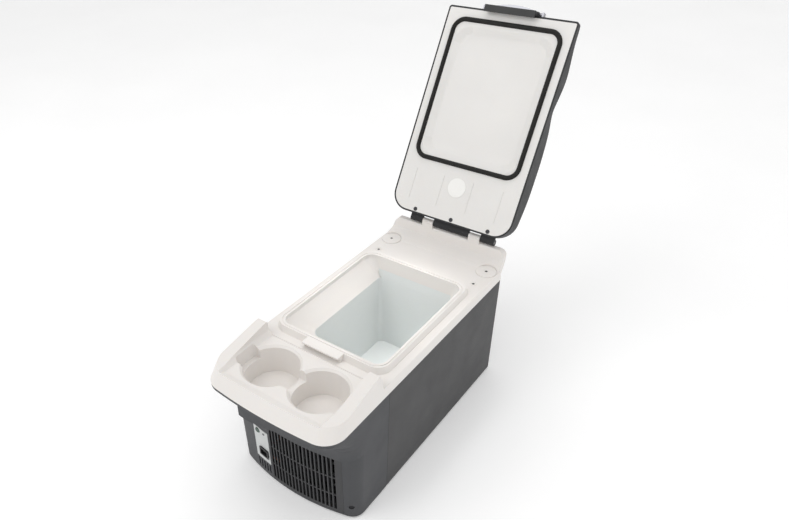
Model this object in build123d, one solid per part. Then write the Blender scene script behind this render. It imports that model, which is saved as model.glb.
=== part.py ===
from build123d import *
import math
import os

# Console cooler fridge: an insulated box with a hinged armrest lid at the rear, two cup
# wells in the deck and a ventilated nose at the front.
# Millimetres, +Z up, the floor at Z = 0, the front faces -Y. Everything is laid out with
# the rear of the case at Y = 0 and moved by Y_SHIFT on export, which puts the origin near
# the centre of the footprint. The lid is laid out closed and turned to its open stop.

# --- shared dimensions ---------------------------------------------------------------
Y_SHIFT = 185.0
WALL = 3.0
HALF_W_TOP = 100.0       # case half width at the deck joint
HALF_W_BASE = 96.8       # case half width at the floor
Z_JOINT = 170.5          # case / deck joint
Z_CASE = 3.0             # underside of the case
CASE_R = 9.0             # rear plan corners of the case and deck
Y_SEAM = -292.0          # side seam between case and nose
SEAM_GAP = 0.15          # gap on each side of the seam
STRAIGHT = 0.001         # bow of a front edge that is to all intents straight
# nose
Y_NOSE_FLOOR = -371.7
Y_NOSE_UPPER = -372.5
Z_NOSE_UPPER = 118.0     # top of the upright lower nose
NOSE_BOW, NOSE_R = 16.5, 18.0
Z_VISOR = 113.0          # underside of the visor over the grille
NOSE_CUT_Y = (-380, -340)               # y span of cuts through the nose front
GRILLE = (-30.6, 79.0, 6.5, 107.0)      # x0, x1, z0, z1
PLATE = (-61.0, -33.0, 29.0, 87.0)      # x0, x1, z0, z1
SLOT_PITCH = 5.6
BUTTON = (-52.5, 81.0)   # x, z
LENS = (-41.0, 81.0)
ROCKER = (-42.8, 46.5)
ROCKER_DEPTH = 3.5       # rocker axle behind the nose face
NOSE_SCREW_Z, NOSE_SCREW_ANGLE = 21.5, 32.0
# deck
Y_DECK_FRONT = -409.3
DECK_BOW, DECK_R = 6.5, 29.0
Z_DECK = 183.0
Z_RIM = 188.0            # front rim
Z_DECK_MAX = 206.0
Y_DECK_REAR = 2.0
Z_WING = 204.0           # rear end of the side wings
Y_WING = -301.2
TRAY_HALF_W = 79.5
CUP_X, CUP_Y, CUP_R, CUP_RIM_R, CUP_FLOOR = 37.6, -345.0, 36.0, 38.8, 144.0
CUP_SLOT = (78.5, -366.0, -331.0)       # half width, front y, rear y
CUP_SLOT_FLOOR = 168.0
PLUG = (81.4, -17.0)     # x, y of the capped corner recess
PLUG_FLOOR = Z_DECK - 0.8
SEAT = (80.5, -53.5)     # x, y of the ringed screw seat
SCREW_BORE_R = 1.35
# lip, funnel and tub outlines: half width, front y, rear y
LIP_OUT = (87.0, -288.5, -67.5)
LIP_TOP = (84.6, -286.0, -70.5)
LIP_IN = (78.6, -280.0, -80.2)
FUNNEL_IN = (58.5, -246.0, -82.0)
TUB_IN = (57.0, -243.0, -84.0)
Z_LIP = 192.0
Z_FUNNEL_TOP = Z_LIP - 6
Z_FUNNEL = 156.5
Z_BACK = 170.5           # rear of the funnel stops here, above the rest
TUB_FLOOR = 38.0
TUB_T = 1.5
# lid
Z_LID = 196.5            # inner face of the closed lid
Y_LID_REAR, Y_LID_FRONT = 8.0, -299.6
LID_LENGTH = Y_LID_REAR - Y_LID_FRONT
LID = (98.5, Y_LID_FRONT, Y_LID_REAR)
PANEL_HALF_W = 96.0
PANEL_T = 2.4
BOWL = (66.0, -264.0, -92.0)
GASKET = (81.65, Y_LID_REAR - 290.3, Y_LID_REAR - 85.5)
LID_SCREWS = [(x, Y_LID_REAR - 6.3) for x in (-55.0, 6.0, 66.0)]
PIVOT = (15.0, 213.0)    # y, z of the hinge
LID_OPEN = -120.0        # degrees from closed to the open stop
KNUCKLE_R = 4.8
PIN_R = 2.0
LID_KNUCKLES = [(-65.0, -44.0), (-25.5, 34.5), (53.5, 75.5)]     # x spans
DECK_KNUCKLES = [(-43.6, -25.9), (34.9, 53.1)]
LATCH_Y, LATCH_Z = -303.4, 204.2        # latch pin, lid closed
# inside
FEET = [(side * 78, y) for y in (-24, -336) for side in (-1, 1)]
BASE_SCREWS = [(side * x, y) for x, y in ((86, -60), (86, -180), (84, -310))
               for side in (-1, 1)]
DC_X, DC_Z = -78, 24     # inlet socket in the rear wall
COMP_X, COMP_Y, COMP_R = 38.0, -300.4, 27.0
COMP_PIPE_X = COMP_X + 8
MOUNTS = [(COMP_X + side * 29, COMP_Y + end * 21) for end in (-1, 1) for side in (-1, 1)]
COND_X0, COND_X1, COND_Y = -22.0, 60.0, -352.5
COND_BEND = 8            # reach of the tube ends beyond the fins
COND_LEVELS = [20, 40, 60, 80, 100]
COND_R = 2.4
FAN_X, FAN_Y, FAN_Z = 24.0, -338.6, 60.0
DRIER_X, DRIER_Y = -60, -322
EVAP_X, EVAP_FRONT, EVAP_REAR, EVAP_END = 65.0, -251.0, -76.0, -272.0
EVAP_PATH = [
    (EVAP_X, EVAP_END, 62), (EVAP_X, EVAP_REAR - 0.5, 62), (-EVAP_X, EVAP_REAR - 0.5, 62),
    (-EVAP_X, EVAP_FRONT, 62), (EVAP_X, EVAP_FRONT, 76), (EVAP_X, EVAP_REAR, 90),
    (-EVAP_X, EVAP_REAR, 92), (-EVAP_X, EVAP_FRONT, 94), (EVAP_X, EVAP_FRONT, 108),
    (EVAP_X, EVAP_REAR, 118), (-EVAP_X, EVAP_REAR, 122), (-EVAP_X, EVAP_END, 124)]
EVAP_R, EVAP_TURN_R = 3.0, 9.0
BOARD_X = -85.8
BOARD_FIXINGS = [(y, z) for y in (-340, -285) for z in (19, 87)]

# --- tables --------------------------------------------------------------------------
# visor sections: z, front y, bow, corner radius
FLARE = [
    (Z_VISOR, -379.0, 14.0, 24.0), (122.0, -379.2, 14.0, 24.0), (134.0, -381.5, 12.5, 24.0),
    (146.0, -388.0, 10.5, 25.0), (158.0, -400.0, 8.0, 26.5),
    (165.5, -408.5, DECK_BOW, 28.0), (Z_JOINT, -408.5, DECK_BOW, 28.0)]
# plan of the hood: x, y
HOOD = [(-50, -345), (-70, -364), (-70.2, -379), (-65.5, -384.2), (-51, -385.4),
        (-27.4, -382.9), (-7.8, -379.0), (6, -376.5), (25, -371), (25, -345)]
# rocker plan, about its axle: x, y
ROCKER_PLAN = [(-5.7, -3.4), (-5.4, 0.6), (-2.2, 2.4), (2.2, 2.4), (5.4, 0.6), (5.7, -1.2),
               (0.0, -2.0)]
# top of the wings, falling forwards to the front rim and down its front: y, z
WING_TOP = [(Y_WING - 2.6, Z_WING - 0.6), (-308.0, 203.3), (-318, 201.5), (-332, 198.6),
            (-347, 195.3), (-365, 191.8), (-381, 189.1), (-398.5, Z_RIM),
            (-402.5, Z_RIM - 2.0), (-415, 172)]
# space above the tray floor: side profile (y, z), and one half of its section (x, z)
TRAY_SIDE = [(-420, Z_RIM), (-398.5, Z_RIM), (-395.5, 187.3), (-388.5, 183.8),
             (-385.5, Z_DECK), (Y_WING - 0.05, Z_DECK), (Y_WING - 0.05, 260), (-420, 260)]
TRAY_SECTION = [(74, 182), (74, 183), (75.2, 183.5), (79.0, 189.2), (80.2, 191.5),
                (80.2, 262)]
# hinge block side profile: y, z
HINGE_BLOCK = [
    (-15, Z_DECK - 1.5), (-14, Z_DECK + 0.3), (-6, 185.2), (4, 188.6), (8.2, 191.0),
    (9.4, 194.0), (9.8, 203.2), (11.6, 206.0), (14.0, 206.9), (18.6, 206.7), (21.2, 204.2),
    (21.6, 199.0), (16.0, 191.5), (6.0, 183.0), (1.95, 178.5), (1.95, Z_DECK - 6.0),
    (-1.2, Z_DECK - 6.0), (-1.2, Z_DECK - 2.8), (-15, Z_DECK - 2.8)]
# lid crown and pad top: distance behind the lid front, height above Z_LID
LID_CROWN = [
    (0, 5.0), (3, 7.0), (18, 9.6), (34, 12.5), (55, 19.0), (73, 22.5), (89, 20.0),
    (108, 14.0), (119, 11.5), (128, 13.6), (142, 20.0), (169, 27.0), (190, 29.4),
    (215, 30.0), (241, 29.3), (259, 26.6), (272, 23.6), (290, 19.0), (302, 15.6),
    (LID_LENGTH, 12.6)]
PAD_CROWN = [
    (121, 10.0), (123, 13.8), (128, 18.0), (142, 25.6), (155, 29.8), (169, 33.0),
    (190, 35.4), (215, 36.0), (241, 35.2), (259, 32.2), (272, 28.8), (290, 23.0),
    (298, 19.6), (301, 13.5)]
# compressor profiles: radius, z
SHELL_LOWER = [
    (0, 20), (18, 20), (24, 22.5), (COMP_R, 28), (COMP_R, 58), (COMP_R + 2, 58),
    (COMP_R + 2, 60), (COMP_R - 2, 60), (COMP_R - 2, 29), (22.8, 24.2), (17, 22), (0, 22)]
SHELL_UPPER = [
    (COMP_R + 2, 60.1), (COMP_R + 2, 62.1), (COMP_R, 62.1), (COMP_R, 92), (24, 99),
    (15, 103), (0, 104.5), (0, 102.5), (14.5, 101), (22.6, 97.4), (COMP_R - 2, 91),
    (COMP_R - 2, 60.1)]
STATOR = [(12.6, 30), (24.6, 30), (24.6, 57), (12.6, 57)]
COMP_FRAME = [(3.05, 59.2), (24.6, 59.2), (24.6, 64.5), (12, 64.5), (8.5, 74), (3.05, 74)]
ROTOR = [(0, 26), (3.0, 26), (3.0, 31), (12.0, 31), (12.0, 56), (3.0, 56), (3.0, 78),
         (0, 78)]


# --- helpers -------------------------------------------------------------------------
def plan(half_w, y_front, y_rear, bow, front_r, rear_r, z):
    """Plan outline with a bowed front edge and rounded corners, as a face."""
    with BuildSketch(Plane.XY.offset(z)) as sketch:
        with BuildLine():
            ThreePointArc((-half_w, y_front + bow), (0, y_front), (half_w, y_front + bow))
            Line((half_w, y_front + bow), (half_w, y_rear))
            Line((half_w, y_rear), (-half_w, y_rear))
            Line((-half_w, y_rear), (-half_w, y_front + bow))
        make_face()
        fillet(sketch.vertices().sort_by(Axis.Y)[:2], front_r)
        fillet(sketch.vertices().sort_by(Axis.Y)[-2:], rear_r)
    return sketch.sketch.faces()[0]


def straight_plan(outline, front_r, rear_r, z, grow=0.0):
    """Plan of an outline (half width, front y, rear y) with a straight front."""
    half_w, y_front, y_rear = outline
    return plan(half_w + grow, y_front - grow, y_rear + grow, STRAIGHT, front_r, rear_r, z)


def rounded(outline, r, z, grow=0.0, grow_y=None):
    """Rounded rectangle on an outline, grown by grow, or by grow_y along Y."""
    half_w, y_front, y_rear = outline
    if grow_y is None:
        grow_y = grow
    length = abs(y_rear - y_front + 2 * grow_y)
    with BuildSketch(Plane.XY.offset(z)) as sketch:
        with Locations((0, (y_front + y_rear) / 2)):
            RectangleRounded(2 * (half_w + grow), length, r)
    return sketch.sketch.faces()[0]


def box(x0, x1, y0, y1, z0, z1):
    centre = Pos((x0 + x1) / 2, (y0 + y1) / 2, (z0 + z1) / 2)
    return centre * Box(abs(x1 - x0), abs(y1 - y0), abs(z1 - z0))


def cyl(centre, r, length, axis="z"):
    body = Cylinder(r, length)
    if axis == "x":
        body = Rot(0, 90, 0) * body
    elif axis == "y":
        body = Rot(90, 0, 0) * body
    return Pos(*centre) * body


def cone(x, y, r0, r1, z0, z1):
    return Pos(x, y, (z0 + z1) / 2) * Cone(r0, r1, z1 - z0)


def tube(points, r, bend):
    path = FilletPolyline(*points, radius=bend)
    return sweep(Plane(path @ 0, z_dir=path % 0) * Circle(r), path=path)


def yz_prism(points, x0, x1):
    """Polygon in (y, z) extruded along X."""
    face = make_face(Polyline(*[(0, y, z) for y, z in points], close=True))
    return Pos(x0, 0, 0) * extrude(face, x1 - x0, dir=(1, 0, 0))


def xy_prism(points, z, height):
    """Polygon in (x, y) extruded upwards from z."""
    face = make_face(Polyline(*[(x, y, z) for x, y in points], close=True))
    return extrude(face, height, dir=(0, 0, 1))


def xz_prism(sketch, length):
    """Sketch on Plane.XZ extruded forwards from y = 60."""
    return Pos(0, 60, 0) * extrude(sketch, length)


def turned(profile):
    """Profile of (radius, z) revolved about the compressor axis."""
    face = make_face(Polyline(*[(COMP_X + r, COMP_Y, z) for r, z in profile], close=True))
    return revolve(face, Axis((COMP_X, COMP_Y, 0), (0, 0, 1)), 360)


def knuckle(span, r, extra=0.0):
    """Cylinder on the hinge axis over an x span, lengthened by extra."""
    x0, x1 = span
    return cyl(((x0 + x1) / 2, *PIVOT), r, x1 - x0 + extra, "x")


def one(shape):
    """Largest solid of a shape."""
    return max(shape.solids(), key=lambda solid: solid.volume)


# --- main case -----------------------------------------------------------------------
def case_hw(z):
    return HALF_W_BASE + (HALF_W_TOP - HALF_W_BASE) * z / Z_JOINT


def case_block(inset, z0, z1, y_front, y_rear=0.0):
    return loft([plan(case_hw(z) - inset, y_front, y_rear - inset, STRAIGHT, 1.0,
                      CASE_R - inset, z) for z in (z0, z1)])


def main_case():
    outer = case_block(0, Z_CASE, Z_JOINT, Y_SEAM - 20)
    inner = case_block(WALL, Z_CASE - 1, Z_JOINT + 1, Y_SEAM - 30)
    case = (outer - inner) & box(-120, 120, Y_SEAM + SEAM_GAP, 5, 0, 200)
    # row of louvres low on the rear wall
    for i in range(11):
        x = -60 + 12 * i
        case -= box(x - 2, x + 2, -5, 2, 14, 44)
    case -= cyl((DC_X, 0, DC_Z), 7.0, 20, "y")
    return one(case)


# --- nose ----------------------------------------------------------------------------
def nose_block(inset, extra=0.0):
    """Upright lower nose, and a visor flaring out to an upright flange under the deck."""
    y_join = Y_SEAM + 12
    low = loft([plan(case_hw(z) - inset, y + inset, y_join, NOSE_BOW, NOSE_R - inset, 1.0, z)
                for z, y in ((Z_CASE - extra, Y_NOSE_FLOOR), (Z_NOSE_UPPER, Y_NOSE_UPPER))])
    rows = list(FLARE)
    rows[0] = (Z_VISOR + max(inset, 0.0),) + rows[0][1:]
    rows[-1] = (Z_JOINT + extra,) + rows[-1][1:]
    high = loft([plan(case_hw(z) - inset, y + inset, y_join, bow, r - inset, 1.0, z)
                 for z, y, bow, r in rows], ruled=True)
    return low + high


def nose_arc_r(z):
    """Plan radius of the bowed nose front."""
    return (case_hw(z) ** 2 + NOSE_BOW ** 2) / (2 * NOSE_BOW)


def face_y(x, z):
    """Front surface y of the lower nose."""
    rise = (z - Z_CASE) / (Z_NOSE_UPPER - Z_CASE)
    y_front = Y_NOSE_FLOOR + (Y_NOSE_UPPER - Y_NOSE_FLOOR) * rise
    r = nose_arc_r(z)
    return y_front + r - math.sqrt(r * r - x * x)


def nose_window(area, gap=0.0):
    """Block through the nose front over an area (x0, x1, z0, z1)."""
    x0, x1, z0, z1 = area
    return box(x0 - gap, x1 + gap, *NOSE_CUT_Y, z0 - gap, z1 + gap)


def nose_screw_frames():
    """Frames on the two rounded nose corners, local +Z pointing out of the face."""
    corner_x = case_hw(NOSE_SCREW_Z) - NOSE_R
    arc_r = nose_arc_r(NOSE_SCREW_Z)
    corner_y = (Y_NOSE_FLOOR - 0.1 + arc_r
                - math.sqrt((arc_r - NOSE_R) ** 2 - corner_x ** 2))
    x = corner_x + NOSE_R * math.sin(math.radians(NOSE_SCREW_ANGLE))
    y = corner_y - NOSE_R * math.cos(math.radians(NOSE_SCREW_ANGLE))
    return [Pos(side * x, y, NOSE_SCREW_Z) * Rot(0, 0, side * NOSE_SCREW_ANGLE)
            * Rot(90, 0, 0) for side in (-1, 1)]


def front_housing():
    shell = nose_block(0) - nose_block(WALL, 1.0)
    housing = shell - box(-120, 120, Y_SEAM - SEAM_GAP, 60, 0, 300)
    # hood over the control plate, fading into the visor near the middle
    housing += xy_prism(HOOD, Z_VISOR + 0.5, 27) - nose_block(0.4, 1.0)
    housing -= nose_window(GRILLE, 0.2)
    housing -= nose_window(PLATE, 0.2)
    # short slots under the control plate
    for i in range(5):
        x = -58.6 + SLOT_PITCH * i
        housing -= box(x - 1.3, x + 1.3, *NOSE_CUT_Y, 10, 25)
    # screw bosses, counterbored
    boss_limit = nose_block(0.3, 0)
    for frame in nose_screw_frames():
        housing += (frame * Pos(0, 0, -4) * Cylinder(6.0, 8)) & boss_limit
        housing -= frame * Pos(0, 0, -0.75) * Cylinder(3.8, 5.5)
        housing -= frame * Cylinder(1.7, 30)
    return one(housing)


def front_grille():
    """Curved insert with full-height slots and two cross bars set back behind the ribs."""
    grille = (nose_block(0) - nose_block(1.8, 1.0)) & nose_window(GRILLE)
    slots = [-27.2 + SLOT_PITCH * i for i in range(18)]
    grille -= Compound([box(x - 1.8, x + 1.8, *NOSE_CUT_Y, 10, 103) for x in slots])
    bars = nose_block(1.0, 1.0) - nose_block(3.0, 1.0)
    for z in (35.0, 67.0):
        grille += bars & box(-29.5, 71.5, *NOSE_CUT_Y, z - 1.1, z + 1.1)
    return one(grille)


def rocker_frame():
    """Frame that sets the rocker square to the curved face."""
    x, z = ROCKER
    angle = math.degrees(math.asin(x / nose_arc_r(z)))
    return Pos(x, face_y(x, z), z) * Rot(0, 0, angle)


def control_plate():
    """Slightly proud curved plate with openings for button, lens and rocker."""
    plate = (nose_block(-0.6, 0) - nose_block(2.0, 1.0)) & nose_window(PLATE)
    plate -= cyl((BUTTON[0], -366, BUTTON[1]), 4.2, 40, "y")
    plate -= cyl((LENS[0], -366, LENS[1]), 1.9, 40, "y")
    plate -= rocker_frame() * box(-7.6, 7.6, -8, 25, -6.2, 6.2)
    return one(plate)


def set_button():
    x, z = BUTTON
    y = face_y(x, z)
    button = cyl((x, y + 1.8, z), 4.0, 6.4, "y") + cyl((x, y + 4.3, z), 5.2, 1.4, "y")
    return fillet(button.edges().filter_by(GeomType.CIRCLE).sort_by(Axis.Y)[0], 0.8)


def status_lens():
    x, z = LENS
    return cyl((x, face_y(x, z) + 1.6, z), 1.8, 4.6, "y")


def rocker_bezel():
    bezel = box(-7.4, 7.4, -1.6, 14.0, -6.0, 6.0) + box(-8.6, 8.6, -2.7, -1.5, -7.2, 7.2)
    bezel -= box(-6.2, 6.2, -3, 12.0, -4.8, 4.8)
    bezel -= cyl((0, ROCKER_DEPTH, 0), 1.05, 13.0)
    return rocker_frame() * bezel


def power_rocker():
    """Paddle on an upright axle."""
    outline = [(x, ROCKER_DEPTH + y) for x, y in ROCKER_PLAN]
    paddle = xy_prism(outline, -4.3, 8.6)
    return rocker_frame() * (paddle + cyl((0, ROCKER_DEPTH, 0), 1.0, 12.0))


def nose_screws():
    screws = []
    for frame in nose_screw_frames():
        head = Pos(0, 0, -2.5) * Cylinder(3.3, 1.9)
        shank = Pos(0, 0, -6.4) * Cylinder(1.6, 6.4)
        cross = Pos(0, 0, -1.6) * (Box(3.6, 0.8, 1.2) + Box(0.8, 3.6, 1.2))
        screws.append(one(frame * (head + shank - cross)))
    return Compound(screws)


# --- top deck ------------------------------------------------------------------------
def deck_block(inset, extra=0.0):
    y_rear = Y_DECK_REAR - inset
    rear_r = CASE_R - inset
    return loft([
        plan(HALF_W_TOP - inset, Y_DECK_FRONT + inset, y_rear, DECK_BOW, DECK_R - inset,
             rear_r, Z_JOINT + 0.1 - extra),
        plan(94.2 - inset, -386.5 + inset, y_rear, DECK_BOW - 0.5, DECK_R - 3 - inset,
             rear_r, Z_DECK_MAX)])


def deck_profile(drop):
    """Side profile: flat deck, upright wing end, wing falling to the front rim."""
    y_end = Y_WING + 0.6 * drop
    points = [(10, Z_JOINT - 5), (10, Z_DECK - drop), (y_end, Z_DECK - drop),
              (y_end - 0.8, Z_WING - 3.2 - drop)]
    points += [(y, z - drop) for y, z in WING_TOP]
    points.append((-415, Z_JOINT - 5))
    return yz_prism(points, -110, 110)


def tray_space():
    """Space over the level tray and front rim, between the wings."""
    left = [(-x, z) for x, z in TRAY_SECTION]
    with BuildSketch(Plane.XZ) as section:
        with BuildLine():
            Polyline(*left, *reversed(TRAY_SECTION), left[0])
        make_face()
    return yz_prism(TRAY_SIDE, -110, 110) & xz_prism(section.sketch, 520)


def hinge_block():
    with BuildSketch(Plane.XZ) as section:
        with BuildLine():
            Polyline((-97.3, 168), (97.3, 168), (96.6, 183), (94.2, 194))
            ThreePointArc((94.2, 194), (88.5, 204.2), (76, 208.5))
            Line((76, 208.5), (-76, 208.5))
            ThreePointArc((-76, 208.5), (-88.5, 204.2), (-94.2, 194))
            Polyline((-94.2, 194), (-96.6, 183), (-97.3, 168))
        make_face()
    block = yz_prism(HINGE_BLOCK, -97, 97) & xz_prism(section.sketch, 120)
    for span in DECK_KNUCKLES:
        block += knuckle(span, KNUCKLE_R)
        block += box(*span, 9.8, 20.4, 204.0, PIVOT[1] - 0.5)
    for span in LID_KNUCKLES:
        block -= knuckle(span, KNUCKLE_R + 0.5, 0.6)
    return block


def lip_blocks(grow=0.0):
    """Upright foot and tapered top of the lip round the opening."""
    foot_top = Z_DECK + 1.0
    foot = loft([rounded(LIP_OUT, 20, z, grow) for z in (Z_DECK - 3.0, foot_top)])
    taper = loft([rounded(LIP_OUT, 20, foot_top, grow), rounded(LIP_TOP, 18, Z_LIP, grow)])
    return foot, taper


def top_deck():
    deck = deck_block(0) & deck_profile(0)
    deck -= tray_space()
    outer = deck
    deck = outer - (deck_block(WALL, 1.0) & deck_profile(WALL))
    # tray floor and inner walls of the wings
    deck += box(-TRAY_HALF_W - 3.5, TRAY_HALF_W + 3.5, -401.0, Y_WING + 2.0,
                Z_DECK - 2.6, 215) & outer
    # solid for the slot across both cup wells, then for the wells, then the hollows
    half_w, y_front, y_rear = CUP_SLOT
    deck += box(-half_w - 2, half_w + 2, y_front - 2.2, y_rear + 2.2,
                CUP_SLOT_FLOOR - 2.4, Z_DECK - 1)
    for x in (-CUP_X, CUP_X):
        deck += cone(x, CUP_Y, CUP_R - 1.6, CUP_R + 2.2, CUP_FLOOR - 2.4, Z_DECK - 0.2)
    for x in (-CUP_X, CUP_X):
        deck -= cone(x, CUP_Y, CUP_R - 3.6, CUP_R, CUP_FLOOR, Z_DECK)
        deck -= cyl((x, CUP_Y, Z_DECK + 10), CUP_R, 20)
        deck -= cone(x, CUP_Y, CUP_R, CUP_RIM_R, Z_DECK - 2.8, Z_DECK + 0.1)
    deck -= extrude(rounded(CUP_SLOT, 4.0, CUP_SLOT_FLOOR), 22)

    deck += hinge_block()
    for span in DECK_KNUCKLES:
        deck -= knuckle(span, PIN_R + 0.03, 2)

    # lip and funnel round the storage opening
    foot, taper = lip_blocks()
    funnel_out = loft([straight_plan(FUNNEL_IN, 16, 6, Z_FUNNEL, 2.6),
                       straight_plan(LIP_IN, 18, 18, Z_FUNNEL_TOP, 2.6)])
    funnel_bottom = straight_plan(FUNNEL_IN, 14, 4, Z_FUNNEL)
    funnel_top = straight_plan(LIP_IN, 15, 15, Z_FUNNEL_TOP)
    opening = loft([funnel_bottom, funnel_top])
    opening = opening + extrude(funnel_top, 12) + extrude(funnel_bottom, -6)
    deck = deck + (foot + taper) + funnel_out
    deck -= opening
    # the rear of the funnel stops higher: the tub's rear wall rises to meet it
    deck -= box(-61.2, 61.2, -83.0, -76.5, 150, Z_BACK)
    # shallow groove round the top of the lip
    deck -= (extrude(rounded(LIP_IN, 18.5, Z_LIP - 0.9, 4.2), 3)
             - extrude(rounded(LIP_IN, 17.3, Z_LIP - 1, 3.0), 5))
    # corner recesses and ringed screw seats
    for side in (-1, 1):
        x, y = side * PLUG[0], PLUG[1]
        deck -= cyl((x, y, PLUG_FLOOR + 7), 15.1, 14)
        deck -= cyl((x, y, Z_DECK - 5), SCREW_BORE_R, 20)
        x, y = side * SEAT[0], SEAT[1]
        deck -= cyl((x, y, Z_DECK), 5.0, 1.2) - cyl((x, y, Z_DECK), 4.3, 3)
        deck -= cyl((x, y, Z_DECK), 2.1, 2.4)
        deck -= cyl((x, y, Z_DECK - 5), SCREW_BORE_R, 20)
    return one(deck)


def deck_plug_caps():
    caps = []
    for side in (-1, 1):
        x, y = side * PLUG[0], PLUG[1]
        cap = cyl((x, y, PLUG_FLOOR + 1.0), 14.8, 2.0)
        cap = chamfer(cap.edges().filter_by(GeomType.CIRCLE).sort_by(Axis.Z)[-1], 0.5)
        cap = cap - cyl((x, y, Z_DECK + 1.2), 2.1, 2.4) - cyl((x, y, Z_DECK), SCREW_BORE_R, 8)
        caps.append(cap)
    return Compound(caps)


def deck_screws():
    """One slotted screw through each cap and one in each ringed seat."""
    screws = []
    for side in (-1, 1):
        for (x, y), z in ((PLUG, Z_DECK), (SEAT, Z_DECK - 1.2)):
            x = side * x
            screw = cyl((x, y, z + 0.4), 1.9, 0.8) + cyl((x, y, z - 4.9), 1.25, 10)
            screw -= box(x - 1.2, x + 1.2, y - 0.25, y + 0.25, z + 0.4, z + 2)
            screws.append(one(screw))
    return Compound(screws)


def latch_strike():
    """Ledge on two end ribs in front of the lip."""
    half_w, foot = 28.5, Z_DECK + 0.05
    strike = (box(-half_w, half_w, -290.6, -286.0, foot, 192.0)
              + box(-half_w, half_w, -298.0, -290.5, 189.4, 192.0))
    for side in (-1, 1):
        strike += box(side * 26.7, side * half_w, -294.0, -290.5, foot, 189.5)
    for block in lip_blocks(0.04):
        strike -= block
    return one(strike)


# --- storage tub, foam, evaporator ---------------------------------------------------
def storage_liner():
    outer = loft([straight_plan(TUB_IN, 14, 12, TUB_FLOOR - TUB_T, TUB_T),
                  straight_plan(FUNNEL_IN, 14, 5.5, Z_FUNNEL - 0.1, TUB_T)])
    inner = loft([straight_plan(TUB_IN, 12.5, 10.5, TUB_FLOOR),
                  straight_plan(FUNNEL_IN, 12.5, 4, Z_FUNNEL + 0.1)])
    # the rear wall rises behind the cut-back funnel
    top = Z_BACK - 0.2
    with BuildSketch(Plane.XZ) as section:
        with BuildLine():
            Polyline((-56, 152), (56, 152), (56, 157), (61, 157), (61, top), (-61, top),
                     (-61, 157), (-56, 157), (-56, 152))
        make_face()
    side = [(-82.02, 152), (-80.9, 152), (-79.3, top), (-80.9, top), (-81.92, 157)]
    riser = yz_prism(side, -70, 70) & xz_prism(section.sketch, 300)
    return one((outer - inner) + riser)


def insulation_foam():
    gap = TUB_T + 0.1
    tub_space = loft([straight_plan(TUB_IN, 13.9, 11.9, TUB_FLOOR - gap, gap),
                      straight_plan(FUNNEL_IN, 13.9, 5.4, Z_FUNNEL + 0.2, gap)])
    foam = case_block(WALL + 0.6, 8.0, 154.0, -268.0, -0.2) - tub_space
    foam -= tube(EVAP_PATH, EVAP_R + 0.05, EVAP_TURN_R)
    foam -= box(-4.2, 4.2, -81.5, -75.2, 7, 58)     # round the sensor
    foam -= box(-90, -66, -16, 1, 12, 36)           # round the inlet socket
    foam = foam - box(-95, -55, -300, -255, 0, 60)
    return one(foam)


def temp_sensor():
    return one(cyl((0, -78.3, 48), 2.1, 11) + cyl((0, -78.3, 27), 0.9, 33))


# --- base ----------------------------------------------------------------------------
def base_plate():
    inset = WALL + 0.5
    base = one(extrude(plan(case_hw(4) - inset, Y_NOSE_FLOOR + inset, -inset, NOSE_BOW,
                            NOSE_R - inset, 5.5, Z_CASE), 2.6))
    for i in range(12):
        x = -44 + 8 * i
        base -= box(x - 2, x + 2, -330, -285, 0, 10)
    for x, y in FEET:
        base -= cyl((x, y, 4), 2.6, 10)
    for x, y in BASE_SCREWS:
        base -= cyl((x, y, 4), 1.7, 10)
    return one(base)


def rubber_feet():
    return Compound([one(cyl((x, y, 1.45), 9.0, 2.9) + cyl((x, y, 4.6), 2.5, 6.2))
                     for x, y in FEET])


def base_screws():
    screws = []
    for x, y in BASE_SCREWS:
        screw = cyl((x, y, 2.2), 3.4, 1.5) + cyl((x, y, 5.2), 1.6, 5.0)
        screws.append(one(screw - box(x - 1.6, x + 1.6, y - 0.4, y + 0.4, 0, 2.1)))
    return Compound(screws)


# --- compressor ----------------------------------------------------------------------
def compressor_shell_upper():
    shell = turned(SHELL_UPPER)
    shell += cyl((COMP_PIPE_X, COMP_Y, 105), 4.0, 6)
    shell -= cyl((COMP_PIPE_X, COMP_Y, 105), 2.55, 20)
    return one(shell)


def compressor_rotor():
    """Shaft and rotor, with an offset crank disc on top."""
    return one(turned(ROTOR) + cyl((COMP_X + 3.0, COMP_Y, 82.0), 6.2, 8.0))


def compressor_bracket():
    bracket = (box(COMP_X - 34, COMP_X + 34, COMP_Y - 27, COMP_Y + 27, 16.6, 18.4)
               + cyl((COMP_X, COMP_Y, 19.1), 17, 1.6))
    for x, y in MOUNTS:
        bracket -= cyl((x, y, 18), 4.05, 12)
    return one(bracket)


def mount_grommets():
    grommets = []
    for x, y in MOUNTS:
        body = cyl((x, y, 11.1), 6.5, 10.8) + cyl((x, y, 17.5), 4.0, 4.0)
        body += cyl((x, y, 20.2), 6.5, 3.4)
        grommets.append(one(body - cyl((x, y, 14), 1.85, 40)))
    return Compound(grommets)


def mount_bolts():
    return Compound([one(cyl((x, y, 14.0), 1.8, 16.6) + cyl((x, y, 23.2), 3.6, 2.4))
                     for x, y in MOUNTS])


# --- condenser and fan ---------------------------------------------------------------
def condenser_tube():
    ends = [COND_X0 - COND_BEND, COND_X1 + COND_BEND]
    path = []
    for i, z in enumerate(COND_LEVELS):
        path += [(x, COND_Y, z) for x in (ends if i % 2 == 0 else ends[::-1])]
    return one(tube(path, COND_R, 7.0))


def condenser_fins():
    fins = []
    for i in range(20):
        x = COND_X0 + 3.0 + i * 4.0
        fin = box(x - 0.25, x + 0.25, COND_Y - 6.2, COND_Y + 6.2, 13, 107)
        for z in COND_LEVELS:
            fin -= cyl((x, COND_Y, z), COND_R + 0.03, 4, "x")
        fins.append(one(fin))
    return Compound(fins)


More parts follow.
